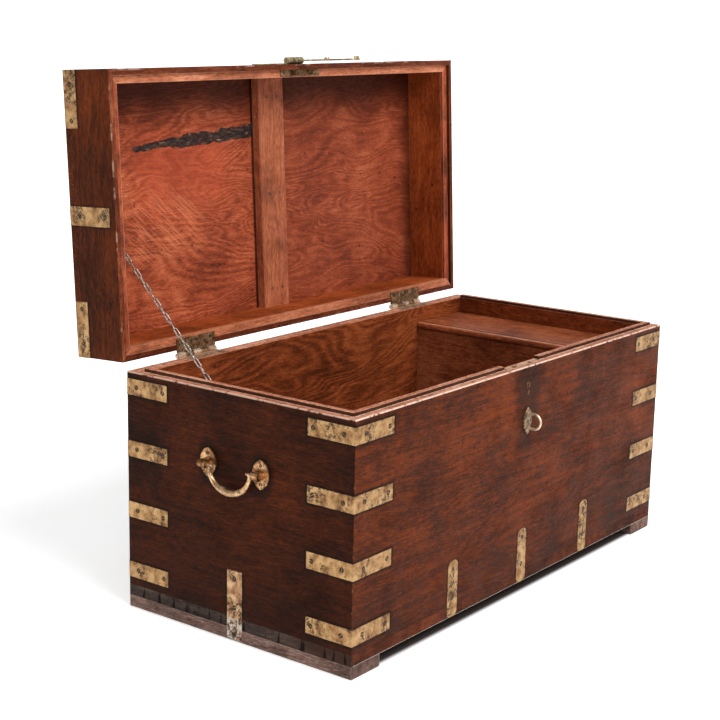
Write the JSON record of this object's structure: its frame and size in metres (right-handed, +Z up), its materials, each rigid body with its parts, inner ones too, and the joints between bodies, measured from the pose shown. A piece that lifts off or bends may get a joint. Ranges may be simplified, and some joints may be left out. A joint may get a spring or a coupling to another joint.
{
  "type": "footlocker",
  "caption": "Brass-bound hardwood footlocker with a deep hinged lid, an inner till, end bail handles, a hasp, a lock and a stay chain.",
  "frame": {"origin": "on the ground, under the middle of the carcass", "axes": "+X along the chest's length to its right-hand end, +Y to the back, +Z up"},
  "size_m": [0.953, 0.6114, 0.8667],
  "materials": {
    "case_wood": "dark stained hardwood, old wax polish",
    "inner_wood": "red-brown unpolished hardwood",
    "base_wood": "weathered grey-brown end grain",
    "aged_brass": "patinated, dull, pitted",
    "polished_brass": "worn bright by handling",
    "dark_steel": "dark, oxidised"
  },
  "bodies": {
    "carcass": {"front_board": "case_wood", "back_board": "case_wood", "left_end_board": "case_wood", "right_end_board": "case_wood", "bottom_board_front": "base_wood", "bottom_board_middle": "base_wood", "bottom_board_back": "base_wood", "left_skid": "base_wood", "right_skid": "base_wood", "rim_lip_front": "inner_wood", "rim_lip_left": "inner_wood", "rim_lip_right": "inner_wood", "corner_straps_front_left": "aged_brass", "corner_straps_front_right": "aged_brass", "corner_straps_back_left": "aged_brass", "corner_straps_back_right": "aged_brass", "front_base_straps": "aged_brass", "back_base_straps": "aged_brass", "left_base_strap": "aged_brass", "right_base_strap": "aged_brass", "carcass_strap_screws": "dark_steel", "carcass_hardware_screws": "dark_steel", "left_handle_plates": "polished_brass", "right_handle_plates": "polished_brass", "lock_case": "dark_steel", "lock_rim_plate": "aged_brass", "keyhole_escutcheon": "aged_brass", "staple_plate": "polished_brass", "staple_loop": "polished_brass", "till_front_board": "inner_wood", "till_bottom_board": "inner_wood", "carcass_hinge_leaves": "aged_brass", "hinge_pins": "aged_brass", "carcass_chain_eye": "dark_steel", "stay_chain": "dark_steel"},
    "lid": {"lid_front_board": "case_wood", "lid_back_board": "case_wood", "lid_left_board": "case_wood", "lid_right_board": "case_wood", "lid_top_board": "case_wood", "lid_lining_front": "inner_wood", "lid_lining_back": "inner_wood", "lid_lining_left": "inner_wood", "lid_lining_right": "inner_wood", "lid_batten": "inner_wood", "lid_corner_straps": "aged_brass", "lid_side_straps": "aged_brass", "lid_strap_screws": "dark_steel", "lid_hardware_screws": "dark_steel", "lid_hinge_leaves": "aged_brass", "link_plate": "aged_brass", "hasp_leaf": "aged_brass", "hasp_pin": "aged_brass", "lid_chain_eye": "dark_steel"},
    "hasp": {"hasp_strap": "aged_brass"},
    "till_lid": {"till_lid": "inner_wood", "till_pivots": "inner_wood"},
    "left_bail": {"left_handle_bail": "polished_brass"},
    "right_bail": {"right_handle_bail": "polished_brass"},
    "lock_bolt": {"lock_bolt": "dark_steel"}
  },
  "joints": [
    {"name": "lid_hinge", "type": "hinge", "parent": "carcass", "child": "lid", "pos_m": [0, 0.2346, 0.3896], "axis": [1, 0, 0], "range_deg": [0, 93], "deforming": ["stay_chain"]},
    {"name": "hasp_hinge", "type": "hinge", "parent": "lid", "child": "hasp", "pos_m": [0, 0.27586, 0.85388], "axis": [-1, 0, 0], "range_deg": [0, 175]},
    {"name": "till_lid_hinge", "type": "hinge", "parent": "carcass", "child": "till_lid", "pos_m": [0.406, 0, 0.353], "axis": [0, 1, 0], "range_deg": [0, 90]},
    {"name": "left_bail_swing", "type": "hinge", "parent": "carcass", "child": "left_bail", "pos_m": [-0.47, 0, 0.275], "axis": [0, 1, 0], "range_deg": [0, 170]},
    {"name": "right_bail_swing", "type": "hinge", "parent": "carcass", "child": "right_bail", "pos_m": [0.47, 0, 0.275], "axis": [0, -1, 0], "range_deg": [0, 170]},
    {"name": "bolt_slide", "type": "slide", "parent": "carcass", "child": "lock_bolt", "axis": [1, 0, 0], "range_m": [0, 0.008]}
  ]
}
